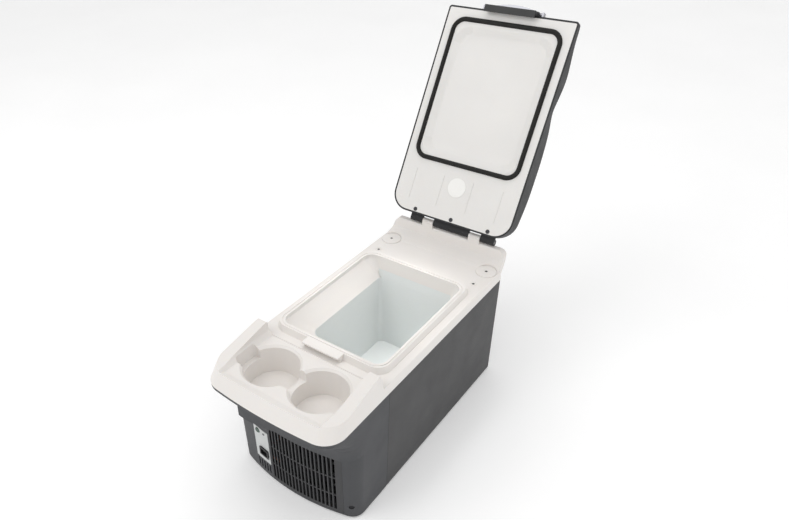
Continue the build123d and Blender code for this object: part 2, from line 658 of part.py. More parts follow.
def fan_frame():
    y_hub = -333.0
    frame = box(FAN_X - 34, FAN_X + 34, FAN_Y - 7, FAN_Y + 7, FAN_Z - 34, FAN_Z + 34)
    frame -= cyl((FAN_X, FAN_Y, FAN_Z), 31.5, 30, "y")
    frame += cyl((FAN_X, y_hub, FAN_Z), 11.5, 2.8, "y")
    for angle in (45, 135, 225, 315):
        arm = Pos(22, 0, 0) * Box(24, 2.4, 3.0)
        frame += Pos(FAN_X, y_hub, FAN_Z) * Rot(0, angle, 0) * arm
    for side in (-1, 1):
        for level in (-1, 1):
            frame -= cyl((FAN_X + side * 29.3, FAN_Y, FAN_Z + level * 29.3), 2.1, 30, "y")
    return one(frame)


def fan_rotor():
    y_rotor, blades = -340.0, 7
    rotor = cyl((FAN_X, y_rotor, FAN_Z), 11.0, 10.6, "y")
    for i in range(blades):
        blade = Pos(20.2, 0, 0) * Rot(38, 0, 0) * Box(20.4, 1.4, 12.0)
        rotor += Pos(FAN_X, y_rotor, FAN_Z) * Rot(0, 360 / blades * i, 0) * blade
    return one(rotor)


# --- pipework ------------------------------------------------------------------------
def discharge_line():
    return one(tube([(COMP_PIPE_X, COMP_Y, 104), (COMP_PIPE_X, COMP_Y, 119),
                     (78, COMP_Y, 119), (78, COND_Y, 119), (78, COND_Y, 100),
                     (COND_X1 + COND_BEND + 0.1, COND_Y, 100)], COND_R, 6))


def liquid_line():
    return one(tube([(COND_X0 - COND_BEND - 0.1, COND_Y, 20), (DRIER_X, COND_Y, 20),
                     (DRIER_X, DRIER_Y, 20), (DRIER_X, DRIER_Y, 71.9)], COND_R, 8))


def filter_drier():
    centre = (DRIER_X, DRIER_Y, 100)
    return one(cyl(centre, 7.5, 40) + cyl(centre, 3.0, 56))


def capillary_tube():
    return one(tube([(DRIER_X, DRIER_Y, 128.1), (DRIER_X, DRIER_Y, 138),
                     (-EVAP_X, -286, 138), (-EVAP_X, -286, 124),
                     (-EVAP_X, EVAP_END - 0.1, 124)], 1.1, 4))


def suction_line():
    return one(tube([(EVAP_X, EVAP_END - 0.1, 62), (EVAP_X, -281, 62), (82, -281, 62),
                     (82, -281, 80), (82, COMP_Y, 80), (COMP_X + COMP_R + 0.1, COMP_Y, 80)],
                    2.6, 4))


# --- electronics ---------------------------------------------------------------------
def control_board():
    board = box(-86.6, -85.0, -345, -280, 14, 92)
    for y, z in BOARD_FIXINGS:
        board -= cyl((BOARD_X, y, z), 1.6, 8, "x")
    return board


def board_standoffs():
    return Compound([one(cyl((-88.3, y, z), 3.0, 3.3, "x") + cyl((-86.0, y, z), 1.55, 4.6, "x")
                         + cyl((-83.4, y, z), 2.8, 1.6, "x")) for y, z in BOARD_FIXINGS])


def board_components():
    """Three cans and two blocks standing on the board."""
    x0 = -84.9
    cans = [(-330, 32, 5, 16), (-318, 32, 5, 16), (-302, 34, 7, 20)]    # y, z, r, height
    items = [cyl((x0 + height / 2, y, z), r, height, "x") for y, z, r, height in cans]
    items.append(box(x0, -75, -335, -300, 62, 80))
    items.append(box(x0, -80, -297, -287, 40, 60))
    return Compound([one(item) for item in items])


def dc_inlet_socket():
    socket = cyl((DC_X, 0.1, DC_Z), 6.8, 12, "y") + cyl((DC_X, 1.8, DC_Z), 9.0, 2.4, "y")
    socket -= cyl((DC_X, 3.5, DC_Z), 4.2, 14, "y")
    socket += cyl((DC_X, -1.0, DC_Z), 1.4, 6, "y")
    return one(socket)


def wire_harness():
    return one(tube([(-79.9, -292, 50), (-32, -292, 50), (-32, COMP_Y, 80),
                     (COMP_X - COMP_R - 0.1, COMP_Y, 80)], 2.2, 8))


# --- lid (laid out closed) -----------------------------------------------------------
def lid_solid(drop, inset, z0):
    """Crowned lid body above z0, its top lowered by drop and its sides moved in."""
    top = [(Y_LID_FRONT + run, Z_LID + rise - drop) for run, rise in LID_CROWN]
    y0, y1 = top[0][0] + inset, top[-1][0] - inset
    top[0] = (y0, top[0][1])
    top[-1] = (y1, top[-1][1])
    with BuildSketch(Plane.YZ) as side:
        with BuildLine():
            Polyline(top[0], (y0, z0), (y1, z0), top[-1])
            Spline(*top)
        make_face()
    body = Pos(-120, 0, 0) * extrude(side.sketch, 240, dir=(1, 0, 0))
    outline = straight_plan(LID, 4 - min(inset, 2), 27 - inset, z0 - 1, -inset)
    return body & extrude(outline, 60)


def lid_cavity():
    return one(lid_solid(2.5, 2.45, Z_LID - 1))


def lid_shell():
    shell = one(lid_solid(0, 0, Z_LID)) - lid_cavity()
    for span in LID_KNUCKLES:
        arm = box(*span, 5.6, PIVOT[0], PIVOT[1] - 4.6, PIVOT[1] - 1.2)
        shell += knuckle(span, KNUCKLE_R) + arm
    for span in DECK_KNUCKLES:
        shell -= knuckle(span, KNUCKLE_R + 0.6, 0.6)
    for span in LID_KNUCKLES:
        shell -= knuckle(span, PIN_R + 0.05, 6)
    return one(shell)


def armrest_pad():
    """Pad on the rear part of the lid."""
    top = [(Y_LID_FRONT + run, Z_LID + rise) for run, rise in PAD_CROWN]
    with BuildSketch(Plane.YZ) as side:
        with BuildLine():
            Spline(*top)
            Line(top[-1], top[0])
        make_face()
    pad = Pos(-100, 0, 0) * extrude(side.sketch, 200, dir=(1, 0, 0))
    pad = pad & extrude(plan(LID[0] - 1, Y_LID_FRONT + 118, Y_LID_REAR - 4, STRAIGHT,
                             10, 24, 190), 60)
    return one(pad - lid_solid(-0.02, 0, Z_LID))


def lid_panel():
    """Inner panel with a dished centre."""
    panel = extrude(plan(PANEL_HALF_W, Y_LID_FRONT + 2.55, Y_LID_REAR - 2.55, STRAIGHT,
                         2.0, 24.4, Z_LID), PANEL_T)
    panel += loft([rounded(BOWL, 25, Z_LID + 2.3, 11.5, 11),
                   rounded(BOWL, 18, Z_LID + 7.9, 1.9)])
    panel -= loft([rounded(BOWL, 24, Z_LID - 0.01, 10.5, 10),
                   rounded(BOWL, 16, Z_LID + 6.0)])
    for x in (-71, -24, 24, 71):
        panel -= box(x - 0.7, x + 0.7, Y_LID_REAR - 66, Y_LID_REAR - 20, Z_LID - 1, Z_LID + 0.5)
    for x, y in LID_SCREWS:
        panel -= cyl((x, y, Z_LID + 1), 1.75, 8)
        panel -= cyl((x, y, Z_LID), 3.2, 2.0)
    return one(panel)


def lid_insulation():
    foam = lid_cavity() & box(-120, 120, -310, 20, Z_LID + PANEL_T + 0.05, 260)
    foam -= loft([rounded(BOWL, 25.3, Z_LID + 2.3, 11.8, 11.3),
                  rounded(BOWL, 18.3, Z_LID + 8.1, 2.2)])
    for x, y in LID_SCREWS:
        foam -= cyl((x, y, Z_LID + 6), 1.75, 12)
    foam = foam & box(-96, 96, Y_LID_FRONT + 3, Y_LID_REAR - 3, 190, 260)
    return one(foam)


def lid_gasket():
    return one(extrude(rounded(GASKET, 20, Z_LID - 4.4, 3.4), 4.38)
               - extrude(rounded(GASKET, 14, Z_LID - 6, -3.4), 8))


def lid_screws():
    screws = []
    for x, y in LID_SCREWS:
        screw = cyl((x, y, Z_LID + 0.35), 3.0, 1.1) + cyl((x, y, Z_LID + 4.6), 1.7, 8.0)
        for dx, dy in ((1.8, 0.4), (0.4, 1.8)):
            screw -= box(x - dx, x + dx, y - dy, y + dy, Z_LID - 1, Z_LID + 0.3)
        screws.append(one(screw))
    return Compound(screws)


# latch: two cheeks on the lid's front edge carry a pin, on which a pull and a hook turn
def latch_brackets():
    cheeks = []
    for side in (-1, 1):
        cheek = box(side * 43.6, side * 46.0, LATCH_Y - 2.6, Y_LID_FRONT - 0.02,
                    Z_LID + 1.2, LATCH_Z + 2.8)
        cheeks.append(one(cheek - cyl((side * 44.8, LATCH_Y, LATCH_Z), 1.53, 8, "x")))
    return Compound(cheeks)


def latch_lever():
    """D-shaped pull."""
    rear, front = LATCH_Y + 2.2, LATCH_Y - 0.5
    with BuildSketch(Plane.XY.offset(LATCH_Z - 1.6)) as outline:
        with BuildLine():
            Line((-43, rear), (43, rear))
            Line((43, rear), (43, front))
            ThreePointArc((43, front), (0, LATCH_Y - 8.8), (-43, front))
            Line((-43, front), (-43, rear))
        make_face()
    lever = extrude(outline.sketch, 3.8)
    lever += cyl((0, LATCH_Y, LATCH_Z), 3.0, 86.6, "x")
    lever -= cyl((0, LATCH_Y, LATCH_Z), 1.55, 100, "x")
    lever -= box(-39, 39, LATCH_Y - 1.0, LATCH_Y + 4.5, LATCH_Z - 4, LATCH_Z - 2.1)
    return one(lever)


def latch_hook():
    profile = [(LATCH_Y + 0.9, LATCH_Z - 3.1), (LATCH_Y - 2.6, LATCH_Z - 3.1),
               (LATCH_Y - 2.6, LATCH_Z - 6.0), (-304.0, 190.0), (-304.0, 186.2),
               (-294.5, 186.2), (-294.5, 188.4), (-295.6, 189.0), (-300.0, 189.0),
               (-300.0, 193.2), (LATCH_Y + 3.2, LATCH_Z - 6.5)]
    hook = yz_prism(profile, -38.5, 38.5)
    return one(hook - cyl((0, LATCH_Y, LATCH_Z), 3.05, 90, "x"))


# --- assemble and write --------------------------------------------------------------
FIXED_BUILDERS = [
    main_case, front_housing, front_grille, control_plate, set_button, status_lens,
    rocker_bezel, power_rocker, top_deck, deck_plug_caps, deck_screws, latch_strike,
    storage_liner, insulation_foam, temp_sensor, base_plate, rubber_feet, base_screws,
    compressor_shell_upper, compressor_rotor, compressor_bracket, mount_grommets,
    mount_bolts, condenser_tube, condenser_fins, fan_frame, fan_rotor, discharge_line,
    liquid_line, filter_drier, capillary_tube, suction_line, control_board,
    board_standoffs, board_components, dc_inlet_socket, wire_harness, nose_screws]
LID_BUILDERS = [lid_shell, armrest_pad, lid_panel, lid_insulation, lid_gasket, lid_screws,
                latch_brackets, latch_lever, latch_hook]

pieces = {build.__name__: build() for build in FIXED_BUILDERS}
pieces["evaporator_coil"] = one(tube(EVAP_PATH, EVAP_R, EVAP_TURN_R))
pieces["compressor_shell_lower"] = one(turned(SHELL_LOWER))
pieces["compressor_stator"] = turned(STATOR)
pieces["compressor_frame"] = one(turned(COMP_FRAME))
pieces["hinge_pin"] = cyl((5.2, *PIVOT), PIN_R, 139.5, "x")

lid_pieces = {build.__name__: build() for build in LID_BUILDERS}
lid_pieces["lid_badge"] = cyl((0, Y_LID_REAR - 53.5, Z_LID - 0.27), 14.0, 0.5)
lid_pieces["latch_pin"] = cyl((0, LATCH_Y, LATCH_Z), 1.5, 92.6, "x")
hinge_axis = Axis((0, *PIVOT), (1, 0, 0))
for name, shape in lid_pieces.items():
    pieces[name] = shape.rotate(hinge_axis, LID_OPEN)

os.makedirs("parts", exist_ok=True)
for name, shape in pieces.items():
    moved = Pos(0, Y_SHIFT, 0) * shape
    moved.label = name
    export_step(moved, os.path.join("parts", name + ".step"))
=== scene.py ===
"""A compressor cool box with its padded armrest lid standing open.

Metres, +Z up, X across the box, front towards -Y, hinge at the rear (+Y).
The CAD pieces get materials and softened edges. The lid gasket and the armrest
cushion are rebuilt, and piping and stitches are added to the cushion.
"""

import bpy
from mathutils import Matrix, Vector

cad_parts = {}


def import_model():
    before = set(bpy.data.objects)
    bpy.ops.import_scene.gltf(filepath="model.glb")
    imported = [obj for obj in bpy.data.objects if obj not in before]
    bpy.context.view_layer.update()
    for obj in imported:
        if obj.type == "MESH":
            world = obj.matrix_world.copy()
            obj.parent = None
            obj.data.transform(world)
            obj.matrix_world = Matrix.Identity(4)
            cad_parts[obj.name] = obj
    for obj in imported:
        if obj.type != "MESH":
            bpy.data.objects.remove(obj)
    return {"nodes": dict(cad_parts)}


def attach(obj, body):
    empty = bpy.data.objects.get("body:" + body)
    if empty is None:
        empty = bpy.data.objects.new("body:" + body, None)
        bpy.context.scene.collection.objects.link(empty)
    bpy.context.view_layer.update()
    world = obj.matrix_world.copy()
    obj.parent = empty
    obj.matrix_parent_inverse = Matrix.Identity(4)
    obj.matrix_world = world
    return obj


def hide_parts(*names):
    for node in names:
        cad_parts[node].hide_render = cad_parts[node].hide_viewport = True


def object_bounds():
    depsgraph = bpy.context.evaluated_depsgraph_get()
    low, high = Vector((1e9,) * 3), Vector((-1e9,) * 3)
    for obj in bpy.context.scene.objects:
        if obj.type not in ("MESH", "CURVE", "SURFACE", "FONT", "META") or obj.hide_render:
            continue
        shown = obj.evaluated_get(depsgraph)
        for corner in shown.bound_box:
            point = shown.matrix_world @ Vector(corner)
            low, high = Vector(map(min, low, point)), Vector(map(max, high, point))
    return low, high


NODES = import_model()["nodes"]
import math

import bmesh
import bpy
from mathutils import Matrix, Vector
from mathutils.bvhtree import BVHTree

CAD_BOX = [list(corner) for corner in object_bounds()]


# ---------------------------------------------------------------- shader helpers
def srgb(*channels):
    """8-bit display colour to linear RGBA."""
    linear = []
    for c in channels:
        c = c / 255.0
        linear.append(c / 12.92 if c <= 0.04045 else ((c + 0.055) / 1.055) ** 2.4)
    return (*linear, 1.0)


def tone(colour, gain):
    """The colour made darker or lighter, opaque."""
    return (*(min(c * gain, 1) for c in colour[:3]), 1.0)


class Shader:
    """A node material around one Principled BSDF, textured in object space."""

    def __init__(self, name):
        self.material = bpy.data.materials.new(name)
        self.material.use_nodes = True
        self.tree = self.material.node_tree
        self.tree.nodes.clear()
        output = self.node("OutputMaterial")
        self.bsdf = self.node("BsdfPrincipled")
        self.put(self.bsdf.outputs["BSDF"], output.inputs["Surface"])
        self.coords = self.node("TexCoord").outputs["Object"]

    def put(self, value, socket):
        """Set a plain value on an input socket, or link an output to it."""
        if isinstance(value, (int, float, tuple)):
            socket.default_value = value
        else:
            self.tree.links.new(value, socket)

    def node(self, kind, inputs=None, **properties):
        made = self.tree.nodes.new("ShaderNode" + kind)
        for key, value in properties.items():
            setattr(made, key, value)
        for key, value in (inputs or {}).items():
            self.put(value, made.inputs[key])
        return made

    def finish(self, inputs):
        """Fill the BSDF inputs and return the material."""
        for key, value in inputs.items():
            self.put(value, self.bsdf.inputs[key])
        return self.material

    def mapping(self, scale, rotation=(0, 0, 0)):
        made = self.node("Mapping", {"Scale": scale, "Rotation": rotation,
                                     "Vector": self.coords})
        return made.outputs["Vector"]

    def noise(self, scale, detail=4, rough=0.55, vector=None):
        made = self.node("TexNoise", {"Scale": scale, "Detail": detail, "Roughness": rough,
                                      "Vector": vector or self.coords})
        return made.outputs["Fac"]

    def voronoi(self, scale, feature="F1", vector=None):
        made = self.node("TexVoronoi", {"Scale": scale, "Vector": vector or self.coords},
                         feature=feature)
        return made.outputs["Distance"]

    def remap(self, value, span=(0.3, 0.7), to=(0, 1)):
        """Map span onto to, clamped; the default span is the middle of a noise."""
        made = self.node("MapRange", {"From Min": span[0], "From Max": span[1],
                                      "To Min": to[0], "To Max": to[1], "Value": value})
        return made.outputs["Result"]

    def mix(self, factor, first, second):
        # inputs 6 and 7 are the colour pair A and B
        made = self.node("Mix", {"Factor": factor, 6: first, 7: second}, data_type="RGBA")
        return made.outputs[2]

    def mottle(self, value, colour, low, high, span=(0.3, 0.7)):
        """Vary a colour between two gains of itself."""
        return self.mix(self.remap(value, span=span), tone(colour, low), tone(colour, high))

    def calc(self, operation, first, second):
        return self.node("Math", {0: first, 1: second}, operation=operation).outputs[0]

    def bump(self, height, distance, strength=1.0, normal=None):
        inputs = {"Strength": strength, "Distance": distance, "Height": height}
        if normal is not None:
            inputs["Normal"] = normal
        return self.node("Bump", inputs).outputs["Normal"]

    def edges(self, radius=0.0009):
        """0 on flats, rising on convex and concave edges."""
        bevel = self.node("Bevel", {"Radius": radius}, samples=4)
        geometry = self.node("NewGeometry")
        dot = self.node("VectorMath", {0: bevel.outputs["Normal"],
                                       1: geometry.outputs["Normal"]},
                        operation="DOT_PRODUCT")
        return self.remap(dot.outputs["Value"], span=(0.98, 0.80))


# ---------------------------------------------------------------- material recipes
def plastic(name, colour, rough, grain, relief, var, wear=0.25, wear_gain=1.35,
            scratch=0.08, sss=0.0, dust=0.0, coat=0.0, cloud=7.0):
    """Moulded plastic.

    grain and cloud are the fine and broad texture scales, relief the grain depth,
    var the colour variation; wear recolours edges by wear_gain; scratch adds
    roughness in streaks; dust settles on upward faces.
    """
    s = Shader(name)
    base = s.mottle(s.noise(scale=cloud, detail=5, rough=0.6), colour, 1 - var, 1 + var)
    fine = s.noise(scale=grain * 0.35, detail=3, rough=0.6)
    base = s.mix(s.remap(fine, to=(0, 0.5)), base, tone(colour, 1 - var * 0.8))
    edge = s.edges()
    patches = s.noise(scale=160, detail=4, rough=0.65)
    worn = s.calc("MULTIPLY", edge, s.remap(patches, span=(0.42, 0.62)))
    base = s.mix(s.calc("MULTIPLY", worn, wear), base, tone(colour, wear_gain))
    if dust:
        geometry = s.node("NewGeometry")
        axes = s.node("SeparateXYZ", {0: geometry.outputs["Normal"]})
        upward = s.remap(axes.outputs["Z"], span=(0.2, 1.0))
        specks = s.remap(s.noise(scale=38, detail=6, rough=0.7), span=(0.45, 0.75),
                         to=(0, dust))
        base = s.mix(s.calc("MULTIPLY", upward, specks), base, (0.42, 0.41, 0.39, 1))
    streaks = s.mapping(scale=(1, 1, 14), rotation=(0.3, 0.7, 0.2))
    scratches = s.remap(s.noise(scale=210, detail=3, rough=0.7, vector=streaks),
                        span=(0.60, 0.72))
    roughness = s.calc("ADD", s.remap(s.noise(scale=24), to=(rough - 0.05, rough + 0.05)),
                       s.calc("MULTIPLY", scratches, scratch))
    # worn edges are a little polished
    roughness = s.calc("ADD", roughness, s.calc("MULTIPLY", worn, -0.08))
    height = s.noise(scale=grain, detail=2, rough=0.5)
    height = s.calc("ADD", height, s.calc("MULTIPLY", s.voronoi(scale=grain * 0.6), 0.5))
    inputs = {"Base Color": base, "Roughness": roughness,
              "Normal": s.bump(height, distance=relief)}
    if sss:
        inputs.update({"Subsurface Weight": sss,
                       "Subsurface Radius": (0.004, 0.003, 0.002),
                       "Subsurface Scale": 0.4})
    if coat:
        inputs.update({"Coat Weight": coat, "Coat Roughness": 0.12})
    return s.finish(inputs)


def metal(name, colour, rough=0.3, stretch=(1, 40, 1), scale=180, relief=0.00002,
          metallic=1.0):
    """Brushed metal: stretch sets the brushing direction, (1, 1, 1) for none."""
    s = Shader(name)
    brushed = s.noise(scale=scale, rough=0.6, vector=s.mapping(scale=stretch))
    base = s.mottle(brushed, colour, 0.92, 1.08)
    stains = s.remap(s.noise(scale=60, detail=5, rough=0.7), span=(0.55, 0.8), to=(0, 0.5))
    return s.finish({
        "Base Color": s.mix(stains, base, tone(colour, 0.6)),
        "Metallic": metallic,
        "Roughness": s.remap(brushed, span=(0.2, 0.8), to=(rough - 0.08, rough + 0.12)),
        "Normal": s.bump(brushed, distance=relief)})


def rubber(name, colour, rough=0.72):
    s = Shader(name)
    base = s.mottle(s.noise(scale=45, detail=5, rough=0.6), colour, 0.8, 1.6,
                    span=(0.35, 0.75))
    chalk = s.remap(s.noise(scale=320, detail=5, rough=0.75), span=(0.6, 0.8), to=(0, 0.35))
    return s.finish({
        "Base Color": s.mix(chalk, base, (0.05, 0.05, 0.048, 1)),
        "Roughness": s.remap(s.noise(scale=90), to=(rough - 0.1, rough + 0.1)),
        "Normal": s.bump(s.noise(scale=2200, detail=3), distance=0.00003),
        "Specular IOR Level": 0.35})


def vinyl(name, colour):
    """Grained soft vinyl: cell grain with creases darkened as painted shade, slightly polished
    on the highs.
    """
    s = Shader(name)
    warp = s.noise(scale=300, detail=3, rough=0.6)
    offset = s.node("CombineXYZ", {0: warp, 1: warp, 2: warp})
    offset = s.node("VectorMath", {0: offset.outputs[0], "Scale": 0.0008},
                    operation="SCALE")
    warped = s.node("VectorMath", {0: s.coords, 1: offset.outputs[0]}, operation="ADD")
    cells = s.voronoi(scale=620, feature="DISTANCE_TO_EDGE", vector=warped.outputs[0])
    crease = s.remap(cells, span=(0.0, 0.22))    # 0 in the creases, 1 on the cells
    base = s.mottle(s.noise(scale=16, detail=5, rough=0.6), colour, 0.85, 1.2)
    # painted shade: the creases between the grain cells are darkened
    base = s.mix(s.calc("SUBTRACT", 1.0, crease), base, tone(colour, 0.55))
    roughness = s.remap(crease, span=(0, 1), to=(0.68, 0.46))
    grain = s.bump(crease, distance=0.00016, strength=0.9)
    ripple = s.noise(scale=45, rough=0.6)
    return s.finish({
        "Base Color": base,
        "Roughness": roughness,
        "Normal": s.bump(ripple, distance=0.0012, strength=0.35, normal=grain),
        "Sheen Weight": 0.08})


def foam(name, colour):
    s = Shader(name)
    cells = s.voronoi(scale=420)
    base = s.mottle(cells, colour, 0.7, 1.12, span=(0, 0.8))
    yellowing = s.remap(s.noise(scale=12, detail=5), span=(0.35, 0.7), to=(0, 0.5))
    return s.finish({
        "Base Color": s.mix(yellowing, base, (0.55, 0.40, 0.18, 1)),
        "Roughness": 0.9,
        "Normal": s.bump(cells, distance=0.0006)})


def painted(name, colour):
    """Gloss paint with orange peel, chipped along the edges."""
    s = Shader(name)
    peel = s.noise(scale=700, detail=2, rough=0.4)
    base = s.mottle(s.noise(scale=20, detail=5), colour, 0.85, 1.3)
    edge = s.edges(radius=0.0006)
    chips = s.calc("MULTIPLY", edge,
                   s.remap(s.noise(scale=240), span=(0.55, 0.62), to=(0, 0.7)))
    return s.finish({
        "Base Color": s.mix(chips, base, (0.25, 0.24, 0.23, 1)),
        "Roughness": s.remap(peel, to=(0.26, 0.38)),
        "Normal": s.bump(peel, distance=0.00008),
        "Coat Weight": 0.3})


def copper(name):
    s = Shader(name)
    base = s.mix(s.remap(s.noise(scale=70, detail=5, rough=0.65), span=(0.35, 0.7)),
                 (0.66, 0.30, 0.17, 1), (0.42, 0.19, 0.11, 1))
    tarnish = s.remap(s.noise(scale=26, detail=5, rough=0.7), span=(0.62, 0.8), to=(0, 0.5))
    return s.finish({
        "Base Color": s.mix(tarnish, base, (0.18, 0.11, 0.08, 1)),
        "Metallic": 1.0,
        "Roughness": s.remap(s.noise(scale=120), to=(0.22, 0.42)),
        "Normal": s.bump(s.noise(scale=900, detail=3), distance=0.00003)})


def circuit(name):
    """Green board: a brick pattern for the tracks, dots for the solder."""
    s = Shader(name)
    bricks = s.node("TexBrick", {
        "Scale": 190,
        "Color1": (0.010, 0.095, 0.035, 1),
        "Color2": (0.013, 0.12, 0.045, 1),
        "Mortar": (0.02, 0.20, 0.07, 1),
        "Vector": s.mapping(scale=(1, 1, 1), rotation=(0, math.pi / 2, 0))})
    dots = s.remap(s.voronoi(scale=260), span=(0.10, 0.14), to=(1, 0))
    return s.finish({
        "Base Color": s.mix(s.calc("MULTIPLY", dots, 0.8), bricks.outputs["Color"],
                            (0.55, 0.52, 0.45, 1)),
        "Roughness": 0.32,
        "Normal": s.bump(s.noise(scale=500, detail=3), distance=0.00004)})


def lens(name, colour):
    s = Shader(name)
    return s.finish({
        "Base Color": s.mottle(s.noise(scale=300, detail=3), colour, 0.7, 1.3),
        "Roughness": s.remap(s.noise(scale=500, detail=3), to=(0.08, 0.2)),
        "Transmission Weight": 0.4,
        "IOR": 1.49})


# ---------------------------------------------------------------- materials
TEXTURED = dict(grain=1500, relief=0.00009, var=0.06, wear=0.5, wear_gain=1.5)
WHITE = dict(grain=1100, relief=0.00002, wear=0.15, wear_gain=0.93, scratch=0.12, sss=0.06)
UNBRUSHED = (1, 1, 1)

CASE = plastic("case_texture", srgb(61, 61, 62), rough=0.56, dust=0.08, **TEXTURED)
GRILLE = plastic("grille_texture", srgb(52, 52, 54), rough=0.5, grain=1500,
                 relief=0.00008, var=0.08, wear=0.6, wear_gain=2.0)
NOSE = plastic("nose_texture", srgb(60, 61, 64), rough=0.54, dust=0.05, **TEXTURED)
LID = plastic("lid_texture", srgb(25, 25, 28), rough=0.5, grain=1300, relief=0.0001,
              var=0.06, wear=0.5, wear_gain=1.6)
DECK = plastic("deck_white", srgb(233, 229, 225), rough=0.36, var=0.018, cloud=9, **WHITE)
PANEL = plastic("panel_white", srgb(226, 224, 221), rough=0.38, var=0.02, cloud=11, **WHITE)
TUB = plastic("tub_grey", srgb(229, 232, 231), rough=0.34, grain=900, relief=0.00002,
              var=0.03, wear=0.1, wear_gain=0.9, scratch=0.15, sss=0.05)
PLATE = plastic("plate_grey", srgb(200, 202, 201), rough=0.42, grain=1500,
                relief=0.00004, var=0.03)
BLACK = plastic("black_plastic", srgb(26, 26, 27), rough=0.42, grain=1500,
                relief=0.00006, var=0.12, wear=0.5, wear_gain=2.2)
GREEN = plastic("button_green", srgb(32, 62, 48), rough=0.3, grain=900,
                relief=0.00003, var=0.08, coat=0.3)
BADGE = plastic("badge_blank", srgb(240, 239, 236), rough=0.5, grain=1500,
                relief=0.00006, var=0.03)
GASKET = rubber("gasket_rubber", srgb(27, 26, 24))
FEET = rubber("feet_rubber", srgb(36, 36, 36))
WIRE = rubber("wire_sleeve", srgb(30, 30, 32), rough=0.55)
PAD = vinyl("pad_vinyl", srgb(26, 26, 29))
THREAD = plastic("seam_thread", srgb(58, 58, 62), rough=0.7, grain=2400,
                 relief=0.00008, var=0.12)
DARK_SCREW = metal("dark_screw", (0.07, 0.07, 0.075), rough=0.42, stretch=UNBRUSHED,
                   scale=300, metallic=0.8)
STEEL = metal("steel", (0.62, 0.61, 0.60), rough=0.28)
ZINC = metal("zinc_plate", (0.50, 0.51, 0.52), rough=0.34, stretch=UNBRUSHED, scale=260)
LATCH = metal("latch_satin", (0.42, 0.42, 0.45), rough=0.36, stretch=(1, 30, 1), scale=160)
IRON = metal("cast_iron", (0.10, 0.10, 0.10), rough=0.6, stretch=UNBRUSHED, scale=500,
             relief=0.0002, metallic=0.7)
COPPER = copper("copper_tube")
BLACK_PAINT = painted("compressor_black", (0.010, 0.010, 0.011))
FOAM = foam("foam_cells", (0.76, 0.70, 0.50))
BOARD = circuit("circuit_board")
LENS = lens("status_lens", (0.10, 0.10, 0.11))

# material, CAD pieces that wear it
FINISHES = (
    (CASE, "main_case base_plate"),
    (NOSE, "front_housing"),
    (GRILLE, "front_grille"),
    (PLATE, "control_plate"),
    (GREEN, "set_button"),
    (LENS, "status_lens"),
    (BLACK, "rocker_bezel power_rocker fan_frame fan_rotor board_components "
            "dc_inlet_socket latch_hook"),
    (DECK, "top_deck deck_plug_caps latch_strike"),
    (DARK_SCREW, "deck_screws nose_screws lid_screws"),
    (TUB, "storage_liner"),
    (COPPER, "evaporator_coil discharge_line liquid_line filter_drier capillary_tube "
             "suction_line"),
    (FOAM, "insulation_foam lid_insulation"),
    (STEEL, "temp_sensor compressor_rotor latch_pin hinge_pin"),
    (FEET, "rubber_feet mount_grommets"),
    (ZINC, "base_screws compressor_bracket mount_bolts board_standoffs"),
    (BLACK_PAINT, "compressor_shell_lower compressor_shell_upper condenser_tube "
                  "condenser_fins"),
    (IRON, "compressor_stator compressor_frame"),
    (BOARD, "control_board"),
    (WIRE, "wire_harness"),
    (LID, "lid_shell"),
    (PAD, "armrest_pad"),
    (PANEL, "lid_panel"),
    (GASKET, "lid_gasket"),
    (BADGE, "lid_badge"),
    (LATCH, "latch_brackets latch_lever"),
)
FINISH_OF = {piece: material for material, pieces in FINISHES for piece in pieces.split()}

for piece, node in NODES.items():
    if not node.material_slots:
        node.data.materials.append(FINISH_OF[piece])
    for slot in node.material_slots:
        slot.link = "OBJECT"
        slot.material = FINISH_OF[piece]

# ---------------------------------------------------------------- softened edges
# bevel width, CAD pieces that get it
BEVELS = (
    (0.0010, "top_deck"),
    (0.0008, "main_case lid_shell"),
    (0.0006, "front_housing"),
    (0.0005, "base_plate"),
    (0.0004, "lid_panel storage_liner latch_strike latch_lever dc_inlet_socket"),
    (0.0003, "front_grille control_plate latch_hook deck_plug_caps rocker_bezel "
             "power_rocker latch_brackets"),
)


def smooth(mesh):
    for polygon in mesh.polygons:
        polygon.use_smooth = True


def soften(node, width):
    weld = node.modifiers.new("weld", "WELD")
    weld.merge_threshold = 0.000004
    bevel = node.modifiers.new("bevel", "BEVEL")
    bevel.width = width
    bevel.segments = 2
    bevel.limit_method = "ANGLE"
    bevel.angle_limit = math.radians(34)
    bevel.use_clamp_overlap = True
    bevel.harden_normals = False
    weighted = node.modifiers.new("wn", "WEIGHTED_NORMAL")
    weighted.keep_sharp = False
    smooth(node.data)


for width, pieces in BEVELS:
    for piece in pieces.split():
        soften(NODES[piece], width)

# ---------------------------------------------------------------- lid frame
# The lid's added pieces are laid out on the closed lid in millimetres, with the
# case rear at y = 0, and turned about the hinge to the open rest pose.
MM_PER_M = 1000
CASE_REAR = 185                          # y of the case rear, mm
HINGE = Vector((0.0, 0.200, 0.213))
OPEN_ANGLE = math.radians(-120)
OPEN = (Matrix.Translation(HINGE) @ Matrix.Rotation(OPEN_ANGLE, 4, "X")
        @ Matrix.Translation(-HINGE))


def lid_point(x, y, z):
    return OPEN @ Vector((x / MM_PER_M, (y + CASE_REAR) / MM_PER_M, z / MM_PER_M))


def lid_direction(x, y, z=0.0):
    return OPEN.to_3x3() @ Vector((x, y, z))


LID_UP = lid_direction(0, 0, 1).normalized()


